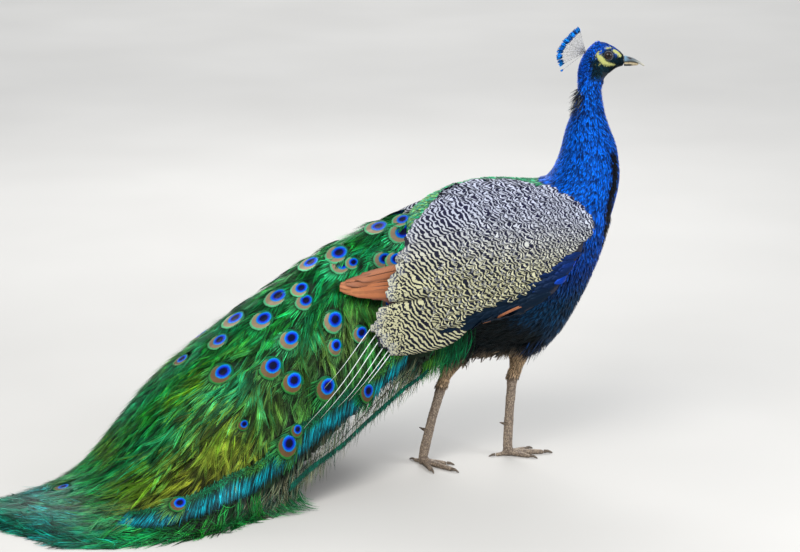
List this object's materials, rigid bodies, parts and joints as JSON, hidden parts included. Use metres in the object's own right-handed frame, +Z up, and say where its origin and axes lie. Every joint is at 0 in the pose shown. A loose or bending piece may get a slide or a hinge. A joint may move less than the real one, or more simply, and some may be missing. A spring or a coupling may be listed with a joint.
{
  "type": "indian peafowl, adult male, still life-size model",
  "caption": "Life-size still model of an adult male Indian peafowl in mid-stride, its long eyed train trailing on the floor behind it.",
  "frame": {"origin": "middle of the bottom of the bounding box, on the floor that the feet and the train rest on", "axes": "+X the way the bird faces, +Y its left side, +Z up"},
  "size_m": [1.1898, 0.5788, 0.8081],
  "materials": {
    "neck_plumage": "glossy blue feathers with an iridescent sheen",
    "body_plumage": "dark blue-green breast and belly feathers",
    "crest_plumage": "bare pale shafts with blue tips",
    "barred_plumage": "buff feathers with wavy blue-black bars",
    "teal_plumage": "dark teal wing coverts with blue glints",
    "brown_plumage": "matt chestnut flight feathers",
    "thigh_plumage": "soft buff thigh feathers",
    "train_plumage": "iridescent green-gold train feathers with blue and bronze eyes",
    "tail_plumage": "stiff matt brown tail feathers",
    "horn": "satin grey-brown horn",
    "leg_skin": "scaly grey-brown leg skin",
    "claw": "dark horn claws and spurs",
    "eye": "wet dark brown eye"
  },
  "bodies": {
    "root": {"neck_upper": "neck_plumage", "neck_middle": "neck_plumage", "neck_lower": "neck_plumage", "breast": "neck_plumage", "trunk": "body_plumage", "rump": "train_plumage", "head": "neck_plumage", "eye_right": "eye", "eye_left": "eye", "bill_upper": "horn", "bill_lower": "horn", "crest": "crest_plumage", "wing_right_shoulder": "barred_plumage", "wing_right_tertials": "barred_plumage", "wing_right_coverts": "teal_plumage", "wing_right_primaries": "brown_plumage", "wing_left_shoulder": "barred_plumage", "wing_left_tertials": "barred_plumage", "wing_left_coverts": "teal_plumage", "wing_left_primaries": "brown_plumage", "thigh_right": "thigh_plumage", "tarsus_right": "leg_skin", "toe_right_middle": "leg_skin", "claw_right_middle": "claw", "toe_right_inner": "leg_skin", "claw_right_inner": "claw", "toe_right_outer": "leg_skin", "claw_right_outer": "claw", "toe_right_hind": "leg_skin", "claw_right_hind": "claw", "spur_right": "claw", "thigh_left": "thigh_plumage", "tarsus_left": "leg_skin", "toe_left_middle": "leg_skin", "claw_left_middle": "claw", "toe_left_inner": "leg_skin", "claw_left_inner": "claw", "toe_left_outer": "leg_skin", "claw_left_outer": "claw", "toe_left_hind": "leg_skin", "claw_left_hind": "claw", "spur_left": "claw", "train_base": "train_plumage", "train_upper_right": "train_plumage", "train_upper_left": "train_plumage", "train_lower_right": "train_plumage", "train_lower_left": "train_plumage", "train_end": "train_plumage", "tail": "tail_plumage"}
  },
  "joints": []
}
